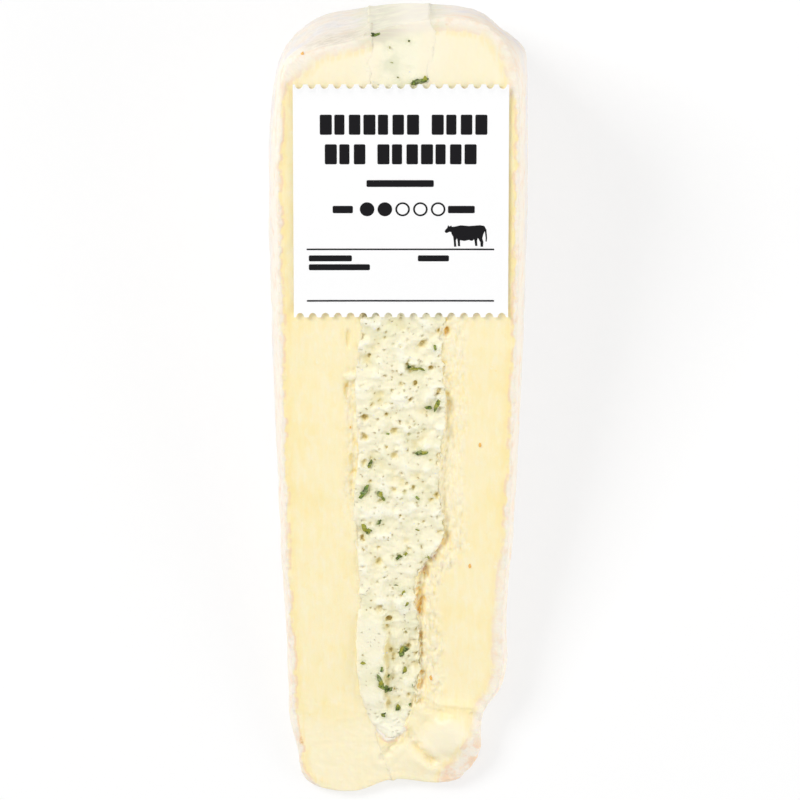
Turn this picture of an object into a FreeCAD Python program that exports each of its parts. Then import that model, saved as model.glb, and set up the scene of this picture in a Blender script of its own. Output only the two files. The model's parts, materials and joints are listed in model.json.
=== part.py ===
"""Wedge of stuffed brie lying on one cut face: two halves of a white-rind wheel with a herb cream between.

Millimetres. +Z is up, and +Y runs from the thin tip at the wheel's centre to the rind at its rim (the heel).
X is the wheel's thickness, with the halves side by side. The wheel's axis is parallel to X, beyond the tip.
The lower cut face lies on z = 0, and the upper one climbs to the heel at the angle of the slice.
The origin is the middle of the footprint's box, on the lower cut face.
"""

import FreeCAD
import Part

import math
import os

# The slice
SLICE_ANGLE = 18.0  # between the two cut faces, degrees
TIP_TO_AXIS = 7.0  # the blunt tip stops this far short of the wheel's axis
SLICE_LENGTH = 148.0  # tip to the rim at its fullest, seen from above

# Half thickness of the wheel on each side of the seam plane
LEFT_BELLY = 22.0
RIGHT_BELLY = 22.4
LEFT_TIP = 18.5
RIGHT_TIP = 17.2
WIDEST_FROM_RIM = 34.0  # where the wheel is thickest
BELLY_POWER = 2.1  # how quickly the thickness grows away from the tip
LEFT_HEEL_TAPER = 2.2  # what the thickness loses again between its widest place and the rim
RIGHT_HEEL_TAPER = 0.5
TAPER_POWER = 1.5

# The soft sides swell between the two cut faces
SWELL_TIP = 0.5
SWELL_HEEL = 2.1
SWELL_RIM = 2.2
RIM_SAG = 0.6  # below 1, the rim is fullest nearer the lower cut face

# The rim
RIM_CROWN = 5.0  # the rim's middle stands this far beyond its shoulders
CROWN_AT = 1.1  # place of that middle across the wheel
LEFT_SETBACK = 6.4  # how far the rim leans in from the lower cut face to the upper one, on each side
RIGHT_SETBACK = 2.0
SETBACK_EASE = 14.0  # half width of the stretch where one setback turns into the other
SETBACK_POWER = 1.5

# The shoulders, where the rim turns into the flat sides
SHOULDER_LENGTH = 8.0
LEFT_SHOULDER_INSET = 2.2
LEFT_SHOULDER_FULLNESS = 0.72
RIGHT_SHOULDER_INSET = 1.3
RIGHT_SHOULDER_FULLNESS = 0.55
HEEL_LIP = 1.6  # dent behind the roll of rind on the right shoulder
LIP_WIDTH = 3.4

# The squashed tip
TIP_CORNER_WIDTH = 6.0
TIP_CORNER_LENGTH = 5.8
NOTCH_DEPTH = 2.0  # dent in the blunt end where the halves meet
NOTCH_AT = -0.9  # place of the dent across the wheel
SEAM_BEND = 1.6  # how far the line between the halves strays to the left on its way to the filling
FOLD_WIDTH = 15.6  # half width of the right half's folded lobe at the tip
FOLD_LENGTH = 15.0  # distance from the tip to the crease behind the lobe
FOLD_CORNER_WIDTH = 8.6
FOLD_CORNER_LENGTH = 8.0
FOLD_SHORTFALL = 1.3  # the folded half ends this far short of the other
CREASE_STEP = 0.7
CREASE_LENGTH = 4.5
LOBE_RISE = 2.0  # the lobe's crown above the cut face
LOBE_HALF_WIDTH = 6.2
LOBE_HALF_LENGTH = 9.2
LOBE_OVERHANG = 1.5  # the lobe's edge reaches this far past the fold's side
TONGUE_RISE = 1.0  # the smaller flap beside the lobe, over the end of the filling
TONGUE_HALF_SIZE = 4.6
TONGUE_AT = 3.9  # place of the flap across the wheel

# Herb cream filling
FILLING_START = 10.0  # distance from the tip where the filling ends
NOSE_LENGTH = 11.0  # the filling narrows to its end over this length
NOSE_SHARE = 0.55  # share of its width left at its end
FILLING_LEFT = 7.2
FILLING_RIGHT = 8.0
FILLING_RIGHT_NARROW = 3.3  # right side, nearer the tip than the step
STEP_AT = 46.5  # where the filling's right side steps in
STEP_LENGTH = 4.0
PINCH_SHARE = 0.68  # share of the filling's width left between the two rims
PINCH_FROM_RIM = 50.0  # where it starts to narrow, and over what length
PINCH_LENGTH = 44.0
WAVES = ((0.45, 24.5, 1.0), (0.27, 57.0, 2.0))  # height, length and turn of each wave along its sides
WAVE_TURN = 1.1  # how far the waves shift from one cut face to the middle, radians
RIGHT_WAVE_TURN = 1.3  # and from the left side to the right one
CREAM_RISE = 0.3  # the filling stands this far out of the cut face
CREAM_WAVE = 0.3
CREAM_WAVE_LENGTH = 18.2
CREAM_WAVE_WIDTH = 14.5
HOLLOW_DEPTH = 1.1  # the scraped hollow in the filling near the tip
HOLLOW_HALF_WIDTH = 3.2
HOLLOW_HALF_LENGTH = 11.0
HOLLOW_AT = 0.7  # place of the hollow across the wheel
HOLLOW_FROM_START = 15.0

# The paste is dragged down beside the filling
RIGHT_VALLEY_DEPTH = 0.9
LEFT_VALLEY_DEPTH = 0.4
VALLEY_HALF_WIDTH = 2.4
VALLEY_EASE = 8.0  # the grooves fade in and out over this length
RIGHT_VALLEY_START = 16.0  # distance from the tip
LEFT_VALLEY_START = 50.0

# Paper label
LABEL_WIDTH = 39.4
LABEL_LENGTH = 43.4
LABEL_THICKNESS = 0.15
LABEL_GLUE = 0.05  # the film of glue that the label lies on
LABEL_AT = 0.7  # place of its middle across the wheel
LABEL_FROM_RIM = 17.0  # between the rim and the label's nearer end
LABEL_CLEAR = 8.0  # the cut face is flat under the label and this far towards the tip
SCALLOPS = 17
SCALLOP_DEPTH = 0.75

# How finely the shapes are drawn
SECTIONS = (0.0, 0.25, 0.5, 0.75, 1.0, 1.4)  # shares of the slice angle with an outline; the knife cuts at 1
SIDE_POINTS = 10  # points of an outline along each flat side
RIM_POINTS = 6
FOLD_POINTS = 4
FILLING_STEP = 7.0
FACE_STEP_X = 1.2  # spacing of the points across and along the upper cut face
FACE_STEP_Y = 2.4
MARGIN = 12.0  # cutting tools reach this far past the wedge

# Worked out
WIDEST_AT = SLICE_LENGTH - WIDEST_FROM_RIM
LABEL_FROM_TIP = SLICE_LENGTH - LABEL_FROM_RIM - LABEL_LENGTH / 2.0 * math.cos(math.radians(SLICE_ANGLE))
ROUGH_END = LABEL_FROM_TIP - LABEL_LENGTH / 2.0 - LABEL_CLEAR  # distance from the tip where the relief ends


def blend(a, b, share):
    """From a to b, eased at both ends; share outside 0 to 1 stays at the end it passed."""
    share = min(1.0, max(0.0, share))
    return a + (b - a) * share * share * (3.0 - 2.0 * share)


def spread(start, stop, count):
    """Evenly spaced places from start to stop, both included."""
    return [start + (stop - start) * i / (count - 1) for i in range(count)]


def along(start, stop, step):
    """Evenly spaced places from start to stop, both included, about step apart."""
    return spread(start, stop, max(2, int(round(abs(stop - start) / step)) + 1))


def slope(share=1.0):
    """Rise per millimetre of the plane that lies at this share of the slice angle."""
    return math.tan(math.radians(SLICE_ANGLE * share))


def half_width(y, tip, belly, taper):
    """Half the wheel's thickness at distance y from the tip."""
    before = max(0.0, 1.0 - y / WIDEST_AT)
    past = max(0.0, (y - WIDEST_AT) / (WIDEST_FROM_RIM - SHOULDER_LENGTH))
    return belly - (belly - tip) * before ** BELLY_POWER - taper * past ** TAPER_POWER


def swell(y, share):
    """How far the rind stands out between the cut faces."""
    return blend(SWELL_TIP, SWELL_HEEL, y / SLICE_LENGTH) * math.sin(math.pi * share)


def rim(x, share):
    """The rim's distance from the tip, at x, on the plane at this share of the slice angle."""
    crown = RIM_CROWN * ((x - CROWN_AT) * 2.0 / (LEFT_BELLY + RIGHT_BELLY)) ** 2
    setback = blend(LEFT_SETBACK, RIGHT_SETBACK, 0.5 + 0.5 * (x - CROWN_AT) / SETBACK_EASE)
    fullness = SWELL_RIM * math.sin(math.pi * share ** RIM_SAG)
    return SLICE_LENGTH - SWELL_RIM - crown + fullness - setback * share ** SETBACK_POWER


def oval_arc(centre, half_sizes, start, stop, count):
    """Points of an oval's arc between two angles in degrees, anticlockwise from +X."""
    turns = [math.radians(angle) for angle in spread(start, stop, count)]
    return [(centre[0] + half_sizes[0] * math.cos(t), centre[1] + half_sizes[1] * math.sin(t)) for t in turns]


def tip_outline():
    """Points round the blunt tip, from the left side to the crease behind the right half's fold."""
    left = (-(LEFT_TIP - TIP_CORNER_WIDTH), TIP_CORNER_LENGTH)
    fold = (FOLD_WIDTH - FOLD_CORNER_WIDTH, FOLD_SHORTFALL + FOLD_CORNER_LENGTH)
    points = oval_arc(left, (TIP_CORNER_WIDTH, TIP_CORNER_LENGTH), 180.0, 270.0, 3)
    points.append(((left[0] + NOTCH_AT) / 2.0, 0.0))
    points.append((NOTCH_AT, NOTCH_DEPTH))
    points += oval_arc(fold, (FOLD_CORNER_WIDTH, FOLD_CORNER_LENGTH), 270.0, 360.0, FOLD_POINTS)
    points.append((FOLD_WIDTH + CREASE_STEP, FOLD_LENGTH))
    return points


def rind_outline(share):
    """Points round the wedge, seen from above, on the plane at this share of the slice angle."""
    points = tip_outline()
    shoulder = rim(RIGHT_BELLY, share) - SHOULDER_LENGTH
    for y in spread(FOLD_LENGTH + CREASE_LENGTH, shoulder, SIDE_POINTS):
        points.append((half_width(y, RIGHT_TIP, RIGHT_BELLY, RIGHT_HEEL_TAPER) + swell(y, share), y))
    corner = RIGHT_BELLY - RIGHT_SHOULDER_INSET + swell(shoulder, share)
    points.append((corner, shoulder + SHOULDER_LENGTH * RIGHT_SHOULDER_FULLNESS))
    lip = RIGHT_BELLY - LIP_WIDTH
    points.append((lip, rim(lip, share) - HEEL_LIP))
    for x in spread(lip - LIP_WIDTH, -LEFT_BELLY + 2.0 * LIP_WIDTH, RIM_POINTS):
        points.append((x, rim(x, share)))
    shoulder = rim(-LEFT_BELLY, share) - SHOULDER_LENGTH
    corner = LEFT_BELLY - LEFT_SHOULDER_INSET + swell(shoulder, share) / 2.0
    points.append((-corner, shoulder + SHOULDER_LENGTH * LEFT_SHOULDER_FULLNESS))
    for y in spread(shoulder, 2.0 * TIP_CORNER_LENGTH, SIDE_POINTS):
        points.append((-half_width(y, LEFT_TIP, LEFT_BELLY, LEFT_HEEL_TAPER) - swell(y, share), y))
    return points


def rind_steps():
    """Spline parameters shared by all the outlines, spaced as the points of the middle one are."""
    points = rind_outline(0.5)
    gaps = [math.sqrt(math.dist(a, b)) for a, b in zip(points, points[1:] + points[:1])]
    steps = [0.0]
    for gap in gaps:
        steps.append(steps[-1] + gap / sum(gaps))
    return steps


def rind_section(share):
    """Closed smooth wire of one outline, on its plane through the wheel's axis."""
    outline = rind_outline(min(1.0, share))
    points = [FreeCAD.Vector(x, y, (y + TIP_TO_AXIS) * slope(share)) for x, y in outline]
    curve = Part.BSplineCurve()
    curve.interpolate(Points=points, PeriodicFlag=True, Parameters=rind_steps())
    return Part.Wire(curve.toShape())


def uncut_wedge():
    """The slice, rind to rind, before the upper cut and before its layers are parted."""
    return Part.makeLoft([rind_section(share) for share in SECTIONS], True, False)


def filling_edge(y, side, level):
    """Where the filling meets one half: side -1 is left, 1 is right; level 0 is below, 1 midway, 2 above."""
    if side < 0:
        x = FILLING_LEFT
        turn = WAVE_TURN * level
    else:
        x = blend(FILLING_RIGHT_NARROW, FILLING_RIGHT, 0.5 + (y - STEP_AT) / STEP_LENGTH)
        turn = WAVE_TURN * level + RIGHT_WAVE_TURN
    for height, length, share in WAVES:
        x += height * math.sin(2.0 * math.pi * y / length + share * turn)
    heel = (y - SLICE_LENGTH + PINCH_FROM_RIM) / PINCH_LENGTH
    nose = (y - FILLING_START) / NOSE_LENGTH
    return side * x * blend(1.0, PINCH_SHARE, heel) * blend(NOSE_SHARE, 1.0, nose)


def filling_wire(z, level):
    """Closed outline of the filling at height z; it runs out past the rim."""
    places = along(FILLING_START + NOSE_LENGTH / 4.0, SLICE_LENGTH + MARGIN, FILLING_STEP)
    left = [FreeCAD.Vector(filling_edge(y, -1, level), y, z) for y in places]
    right = [FreeCAD.Vector(filling_edge(y, 1, level), y, z) for y in places]
    nose = FreeCAD.Vector((left[0].x + right[0].x) / 2.0, FILLING_START, z)
    curve = Part.BSplineCurve()
    curve.interpolate(Points=left[::-1] + [nose] + right)
    return Part.Wire([curve.toShape(), Part.makeLine(right[-1], left[-1])])


def filling_tool(top):
    """The space between the halves, from below the wedge to above it, with other waves at each level."""
    heights = [-MARGIN, top / 2.0, top + MARGIN]
    return Part.makeLoft([filling_wire(z, level) for level, z in enumerate(heights)], True, False)


def right_side_tool(top):
    """Everything to the right of the seam where the halves touch at the tip."""
    far = RIGHT_BELLY + 2.0 * MARGIN
    seam = [
        FreeCAD.Vector(NOTCH_AT, -MARGIN, -MARGIN),
        FreeCAD.Vector(NOTCH_AT, NOTCH_DEPTH, -MARGIN),
        FreeCAD.Vector(NOTCH_AT - SEAM_BEND, (NOTCH_DEPTH + FILLING_START) / 2.0, -MARGIN),
        FreeCAD.Vector(NOTCH_AT, FILLING_START + MARGIN, -MARGIN),
    ]
    curve = Part.BSplineCurve()
    curve.interpolate(seam)
    corners = [
        seam[-1],
        FreeCAD.Vector(NOTCH_AT, SLICE_LENGTH + MARGIN, -MARGIN),
        FreeCAD.Vector(far, SLICE_LENGTH + MARGIN, -MARGIN),
        FreeCAD.Vector(far, -MARGIN, -MARGIN),
        seam[0],
    ]
    edges = [Part.makeLine(a, b) for a, b in zip(corners, corners[1:])]
    face = Part.Face(Part.Wire([curve.toShape()] + edges))
    return face.extrude(FreeCAD.Vector(0, 0, top + 2.0 * MARGIN))


def hump(x, y, centre, half_sizes, height):
    """Height of a smooth oval rise, or of a hollow where height is negative."""
    far = ((x - centre[0]) / half_sizes[0]) ** 2 + ((y - centre[1]) / half_sizes[1]) ** 2
    return height * max(0.0, 1.0 - far) ** 2


def valley(x, y, side, depth, start):
    """Depth of the groove beside the filling, from its start to where the rough part of the face ends."""
    middle = filling_edge(y, side, 2) + side * VALLEY_HALF_WIDTH / 2.0
    across = max(0.0, 1.0 - ((x - middle) / VALLEY_HALF_WIDTH) ** 2) ** 2
    fade = blend(0.0, 1.0, (y - start) / VALLEY_EASE) * blend(0.0, 1.0, (ROUGH_END - y) / VALLEY_EASE)
    return depth * across * fade


def paste_relief(x, y):
    """Height of the halves' cut surface above the plane of the upper cut."""
    lobe = (FOLD_WIDTH + LOBE_OVERHANG - LOBE_HALF_WIDTH, FOLD_SHORTFALL + LOBE_HALF_LENGTH)
    tongue = (TONGUE_AT, FOLD_SHORTFALL + TONGUE_HALF_SIZE)
    rise = hump(x, y, lobe, (LOBE_HALF_WIDTH, LOBE_HALF_LENGTH), LOBE_RISE)
    rise += hump(x, y, tongue, (TONGUE_HALF_SIZE, TONGUE_HALF_SIZE), TONGUE_RISE)
    rise -= valley(x, y, 1, RIGHT_VALLEY_DEPTH, RIGHT_VALLEY_START)
    rise -= valley(x, y, -1, LEFT_VALLEY_DEPTH, LEFT_VALLEY_START)
    return rise


def cream_relief(x, y):
    """Height of the filling's surface above the plane of the upper cut."""
    lengthwise = math.sin(2.0 * math.pi * (y / CREAM_WAVE_LENGTH + x / CREAM_WAVE_WIDTH))
    wave = CREAM_WAVE * lengthwise * math.cos(2.0 * math.pi * x / CREAM_WAVE_WIDTH)
    hollow = (HOLLOW_AT, FILLING_START + HOLLOW_FROM_START)
    rise = (CREAM_RISE + wave) * blend(0.0, 1.0, (ROUGH_END - y) / VALLEY_EASE)
    return rise + hump(x, y, hollow, (HOLLOW_HALF_WIDTH, HOLLOW_HALF_LENGTH), -HOLLOW_DEPTH)


def above_cut(relief, top):
    """Everything above the upper cut face, for the given relief."""
    side = max(LEFT_BELLY, RIGHT_BELLY) + MARGIN
    rows = []
    for y in along(-TIP_TO_AXIS, SLICE_LENGTH + MARGIN, FACE_STEP_Y):
        plane = (y + TIP_TO_AXIS) * slope()
        rows.append([FreeCAD.Vector(x, y, plane + relief(x, y)) for x in along(-side, side, FACE_STEP_X)])
    surface = Part.BSplineSurface()
    surface.interpolate(rows)
    return surface.toShape().extrude(FreeCAD.Vector(0, 0, top))


def scalloped_edge(y, outwards):
    """The label's notched end: round bites between round teeth, from left to right."""
    pitch = LABEL_WIDTH / SCALLOPS
    edges = []
    for i in range(SCALLOPS):
        start = -LABEL_WIDTH / 2.0 + i * pitch
        a = FreeCAD.Vector(start, y, 0)
        b = FreeCAD.Vector(start + pitch / 2.0, y, 0)
        c = FreeCAD.Vector(start + pitch, y, 0)
        bite = FreeCAD.Vector(start + pitch / 4.0, y - outwards * SCALLOP_DEPTH / 2.0, 0)
        tooth = FreeCAD.Vector(start + pitch * 3.0 / 4.0, y + outwards * SCALLOP_DEPTH / 2.0, 0)
        edges.append(Part.Arc(a, bite, b).toShape())
        edges.append(Part.Arc(b, tooth, c).toShape())
    return edges


def label():
    """Paper label lying flat on the upper cut face, near the heel."""
    half = LABEL_LENGTH / 2.0 - SCALLOP_DEPTH / 2.0
    w = LABEL_WIDTH / 2.0
    sides = [
        Part.makeLine(FreeCAD.Vector(w, -half, 0), FreeCAD.Vector(w, half, 0)),
        Part.makeLine(FreeCAD.Vector(-w, half, 0), FreeCAD.Vector(-w, -half, 0)),
    ]
    outline = Part.Wire(Part.__sortEdges__(scalloped_edge(-half, -1) + scalloped_edge(half, 1) + sides))
    sheet = Part.Face(outline).extrude(FreeCAD.Vector(0, 0, LABEL_THICKNESS))
    tilt = FreeCAD.Rotation(FreeCAD.Vector(1, 0, 0), SLICE_ANGLE)
    place = FreeCAD.Vector(LABEL_AT, LABEL_FROM_TIP, (LABEL_FROM_TIP + TIP_TO_AXIS) * slope())
    sheet.Placement = FreeCAD.Placement(place + tilt.multVec(FreeCAD.Vector(0, 0, LABEL_GLUE)), tilt)
    return sheet


def make_parts():
    """Every sub-part by name, still measured from the tip."""
    whole = uncut_wedge()
    top = whole.BoundBox.ZMax
    filling_space = filling_tool(top)
    right_space = right_side_tool(top)
    halves = whole.cut(filling_space).cut(above_cut(paste_relief, top))
    return {
        "brie_half_left": halves.cut(right_space),
        "brie_half_right": halves.common(right_space),
        "herb_filling": whole.common(filling_space).cut(above_cut(cream_relief, top)),
        "label": label(),
    }


def main():
    """Builds the sub-parts, moves the origin to the footprint's middle and writes one STEP file for each."""
    parts = make_parts()
    box = FreeCAD.BoundBox()
    for shape in parts.values():
        box.add(shape.optimalBoundingBox(False, False))
    to_origin = FreeCAD.Vector(-box.Center.x, -box.Center.y, -box.ZMin)
    os.makedirs("parts", exist_ok=True)
    for name, shape in parts.items():
        solids = [solid.translated(to_origin) for solid in shape.Solids]
        piece = solids[0] if len(solids) == 1 else Part.makeCompound(solids)
        piece.exportStep(f"parts/{name}.step")
        print(name, len(solids), "solid", round(piece.Volume / 1000.0, 2), "cm3", piece.isValid())


main()
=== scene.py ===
import json
import math
import random

import bpy
from bpy.props import FloatProperty, FloatVectorProperty, IntProperty, PointerProperty
from mathutils import Matrix, Vector

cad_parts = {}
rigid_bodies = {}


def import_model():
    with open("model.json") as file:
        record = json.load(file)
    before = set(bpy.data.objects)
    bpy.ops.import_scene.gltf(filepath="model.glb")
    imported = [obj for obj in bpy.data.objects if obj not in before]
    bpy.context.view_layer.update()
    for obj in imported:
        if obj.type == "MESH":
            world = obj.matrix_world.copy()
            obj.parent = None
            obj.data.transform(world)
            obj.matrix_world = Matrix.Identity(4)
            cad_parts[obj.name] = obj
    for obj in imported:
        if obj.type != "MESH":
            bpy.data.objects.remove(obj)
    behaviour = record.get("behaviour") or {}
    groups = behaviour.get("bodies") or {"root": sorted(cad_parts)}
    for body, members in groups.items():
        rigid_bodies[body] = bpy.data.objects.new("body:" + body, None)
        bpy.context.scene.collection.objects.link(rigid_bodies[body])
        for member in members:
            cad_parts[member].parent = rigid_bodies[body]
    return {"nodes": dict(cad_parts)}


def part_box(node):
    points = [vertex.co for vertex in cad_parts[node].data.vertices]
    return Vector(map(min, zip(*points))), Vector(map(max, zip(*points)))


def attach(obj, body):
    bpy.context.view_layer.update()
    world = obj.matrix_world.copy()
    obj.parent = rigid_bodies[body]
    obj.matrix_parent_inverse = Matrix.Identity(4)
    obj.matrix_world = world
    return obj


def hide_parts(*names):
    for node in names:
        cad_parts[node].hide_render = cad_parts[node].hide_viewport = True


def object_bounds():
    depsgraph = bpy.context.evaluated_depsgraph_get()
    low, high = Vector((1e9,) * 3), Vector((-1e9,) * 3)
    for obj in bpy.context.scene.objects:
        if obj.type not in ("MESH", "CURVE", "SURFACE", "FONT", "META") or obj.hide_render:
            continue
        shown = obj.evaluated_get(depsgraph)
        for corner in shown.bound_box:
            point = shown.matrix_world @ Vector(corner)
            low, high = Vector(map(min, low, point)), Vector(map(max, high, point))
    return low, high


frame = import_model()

# Stuffed brie wedge: two brie halves, the herb cream between them, its herbs, a paper label and its print.
# Sizes in the property groups are millimetres. A place on the upper cut face is given as x, millimetres to
# the right of the part's middle, and along, millimetres from the tip towards the heel.

bl_info = {
    "name": "Stuffed Brie Wedge",
    "version": (1, 0, 0),
    "blender": (4, 5, 0),
    "location": "3D View > Sidebar > Brie",
    "description": "Makes the looks of a wedge of stuffed brie with herb cream and a paper label",
    "category": "Add Mesh",
}

MM = 0.001
CAD_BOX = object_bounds()
TIP = CAD_BOX[0].y / MM
PAPER_LIFT = 0.2  # the top of the CAD label above the cut face
DROP = 20.0  # small things are dropped on the cut face from this height
PER_SQUARE_CM = 10000.0  # one to the square centimetre, in Blender's count to the square metre


def face_of_label():
    """The biggest upward face of the CAD label, which lies along the cut face."""
    mesh = frame["nodes"]["label"].data
    return max((face for face in mesh.polygons if face.normal.z > 0.5), key=lambda face: face.area)


UP = face_of_label().normal.copy()  # the upper cut face's outward direction
ORIGIN = face_of_label().center / MM - UP * PAPER_LIFT  # a point on that face, millimetres
ALONG = UP.cross(Vector((1, 0, 0)))  # the way up the cut face, towards the heel
LABEL_LOW, LABEL_HIGH = (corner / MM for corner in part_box("label"))


def on_face(x, along, lift=0.0):
    """The point on the upper cut face at x and along, raised by lift; metres."""
    y = TIP + along
    z = ORIGIN.z - (UP.x * (x - ORIGIN.x) + UP.y * (y - ORIGIN.y)) / UP.z
    return (Vector((x, y, z)) + UP * lift) * MM


def srgb(red, green, blue):
    """A colour given as 0 to 255, as Blender's linear values."""
    shares = (red / 255, green / 255, blue / 255)
    return tuple(c / 12.92 if c <= 0.04 else ((c + 0.055) / 1.055) ** 2.4 for c in shares)


def colour(name, red, green, blue, text):
    """A colour property."""
    return FloatVectorProperty(
        name=name, description=text, subtype="COLOR", size=3, min=0.0, max=1.0, default=srgb(red, green, blue)
    )


def size(name, value, text):
    """A size property in millimetres."""
    return FloatProperty(name=name, description=text, default=value, min=0.0, precision=2)


def length(name, value, text):
    """A size property of the stage, in metres."""
    return FloatProperty(
        name=name, description=text, default=value, min=0.0, precision=4, unit="LENGTH", subtype="DISTANCE"
    )


def power(name, value, text):
    """A lamp's power, in watts."""
    return FloatProperty(name=name, description=text, default=value, min=0.0, unit="POWER", subtype="POWER")


# ---------------------------------------------------------------- node trees


class Value:
    """A number that comes out of a node. Arithmetic on it adds Math nodes to its tree."""

    def __init__(self, graph, socket):
        self.graph = graph
        self.socket = socket

    def out(self, name):
        """Another output of the same node."""
        return Value(self.graph, self.socket.node.outputs[name])

    def __add__(self, other):
        return self.graph.math("ADD", self, other)

    __radd__ = __add__

    def __sub__(self, other):
        return self.graph.math("SUBTRACT", self, other)

    def __rsub__(self, other):
        return self.graph.math("SUBTRACT", other, self)

    def __mul__(self, other):
        return self.graph.math("MULTIPLY", self, other)

    __rmul__ = __mul__

    def __truediv__(self, other):
        return self.graph.math("DIVIDE", self, other)

    def __pow__(self, other):
        return self.graph.math("POWER", self, other)

    def __abs__(self):
        return self.graph.math("ABSOLUTE", self)

    def least(self, other):
        return self.graph.math("MINIMUM", self, other)

    def most(self, other):
        return self.graph.math("MAXIMUM", self, other)

    def rise(self, start, stop):
        """0 at start and 1 at stop, eased, whichever of the two is larger."""
        low, high = min(start, stop), max(start, stop)
        sockets = {"Value": self, "From Min": low, "From Max": high}
        eased = self.graph.add("ShaderNodeMapRange", {"interpolation_type": "SMOOTHSTEP"}, sockets)
        return eased if start < stop else 1 - eased


class Graph:
    """A node tree, for a material or for shaping a mesh."""

    def __init__(self, tree):
        self.tree = tree

    def add(self, kind, settings=None, sockets=None, out=0):
        """Adds a node: its settings, then its sockets' values or links. Gives the wanted output."""
        node = self.tree.nodes.new(kind)
        for name, value in (settings or {}).items():
            setattr(node, name, value)
        for name, value in (sockets or {}).items():
            if isinstance(value, Value):
                self.tree.links.new(value.socket, node.inputs[name])
            else:
                node.inputs[name].default_value = value
        return Value(self, node.outputs[out]) if node.outputs else node

    def math(self, operation, *values):
        return self.add("ShaderNodeMath", {"operation": operation}, dict(enumerate(values)))

    def vector(self, operation, a, b, out=0):
        return self.add("ShaderNodeVectorMath", {"operation": operation}, {0: a, 1: b}, out)

    def scaled(self, vector, factor):
        return self.add("ShaderNodeVectorMath", {"operation": "SCALE"}, {0: vector, "Scale": factor})

    def split(self, vector):
        parts = self.add("ShaderNodeSeparateXYZ", {}, {0: vector})
        return parts, parts.out("Y"), parts.out("Z")

    def joined(self, x, y, z):
        return self.add("ShaderNodeCombineXYZ", {}, {0: x, 1: y, 2: z})

    def noise(self, where, grain, detail=2.0, roughness=0.5, out=0):
        """Soft random value about 0.5 with bumps of that many millimetres."""
        sockets = {"Vector": where, "Scale": 1.0 / grain, "Detail": detail, "Roughness": roughness}
        return self.add("ShaderNodeTexNoise", {}, sockets, out)

    def pits(self, where, spacing, radius, share):
        """Round pits, one to a cell with a share of cells empty: 1 at a pit's middle, 0 from its rim out."""
        cell = self.add("ShaderNodeTexVoronoi", {}, {"Vector": where, "Scale": 1.0 / spacing}, "Distance")
        luck = self.split(cell.out("Color"))[0]
        reach = (radius * luck.rise(share, 1.0)).most(0.001)
        return (1 - cell * spacing / reach).most(0.0)

    def mix(self, factor, a, b):
        """Colour a where factor is 0 and b where it is 1."""
        return self.add("ShaderNodeMix", {"data_type": "RGBA"}, {0: factor, 6: rgba(a), 7: rgba(b)}, 2)

    def layered(self, tint, *layers):
        """A colour with others laid over it in turn, each given as how much of it and which."""
        for factor, over in layers:
            tint = self.mix(factor, tint, over)
        return tint


def rgba(value):
    """A colour socket's value: links stay, and plain colours get their alpha."""
    return value if isinstance(value, Value) else (*value[:3], 1.0)


# ---------------------------------------------------------------- shaping


def deselect():
    for piece in bpy.context.selected_objects:
        piece.select_set(False)


def pick(piece):
    """Makes this the only selected object and the active one."""
    deselect()
    piece.select_set(True)
    bpy.context.view_layer.objects.active = piece


def edit(piece, kind="VERT"):
    """Opens edit mode on all of a piece's mesh."""
    pick(piece)
    bpy.ops.object.mode_set(mode="EDIT")
    bpy.ops.mesh.select_mode(type=kind)
    bpy.ops.mesh.select_all(action="SELECT")


def edited():
    """Leaves edit mode."""
    bpy.ops.object.mode_set(mode="OBJECT")


def new_piece(name):
    """Names the object that an operator has just added."""
    piece = bpy.context.active_object
    piece.name = name
    piece.data.name = name
    return piece


def apply(piece, kind, **settings):
    """Adds a modifier with these settings and applies it."""
    modifier = piece.modifiers.new(kind.title(), kind)
    for name, value in settings.items():
        setattr(modifier, name, value)
    pick(piece)
    bpy.ops.object.modifier_apply(modifier=modifier.name)


def settle(piece):
    """Puts the object's place into its mesh."""
    pick(piece)
    bpy.ops.object.transform_apply(location=True, rotation=True, scale=True)


def copy_of(node, name):
    """A merged copy of a CAD node's mesh, as a new object."""
    piece = bpy.data.objects.new(name, frame["nodes"][node].data.copy())
    bpy.context.scene.collection.objects.link(piece)
    piece.data.materials.clear()
    edit(piece)
    bpy.ops.mesh.remove_doubles(threshold=0.001 * MM)
    edited()
    return piece


def drawn(name, points, filled=False):
    """A line through the points, extruded from one vertex to the next; filled closes it to a face."""
    deselect()
    bpy.ops.mesh.primitive_plane_add(size=MM, location=points[0])
    line = new_piece(name)
    settle(line)
    edit(line)
    bpy.ops.mesh.merge(type="CENTER")
    route = [*points, points[0]] if filled else points
    for start, end in zip(route, route[1:]):
        bpy.ops.mesh.extrude_vertices_move(TRANSFORM_OT_translate={"value": end - start})
    if filled:
        bpy.ops.mesh.select_all(action="SELECT")
        bpy.ops.mesh.remove_doubles(threshold=0.01 * MM)
        bpy.ops.mesh.select_all(action="SELECT")
        bpy.ops.mesh.edge_face_add()
        bpy.ops.mesh.quads_convert_to_tris()
    edited()
    return line


def joined(pieces, name):
    """Joins the pieces into one."""
    pick(pieces[0])
    for piece in pieces:
        piece.select_set(True)
    bpy.ops.object.join()
    return new_piece(name)


def copied(piece, matrix):
    """A copy of a piece with its own mesh, put through a matrix."""
    copy = piece.copy()
    copy.data = piece.data.copy()
    bpy.context.scene.collection.objects.link(copy)
    copy.matrix_world = matrix
    settle(copy)
    return copy


def select_faces(piece, wanted):
    """Selects the faces for which wanted(centre in millimetres, normal) is true, and opens edit mode."""
    edit(piece, "FACE")
    bpy.ops.mesh.select_all(action="DESELECT")
    edited()
    for face in piece.data.polygons:
        face.select = wanted(face.center / MM, face.normal)
    bpy.ops.object.mode_set(mode="EDIT")


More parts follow.
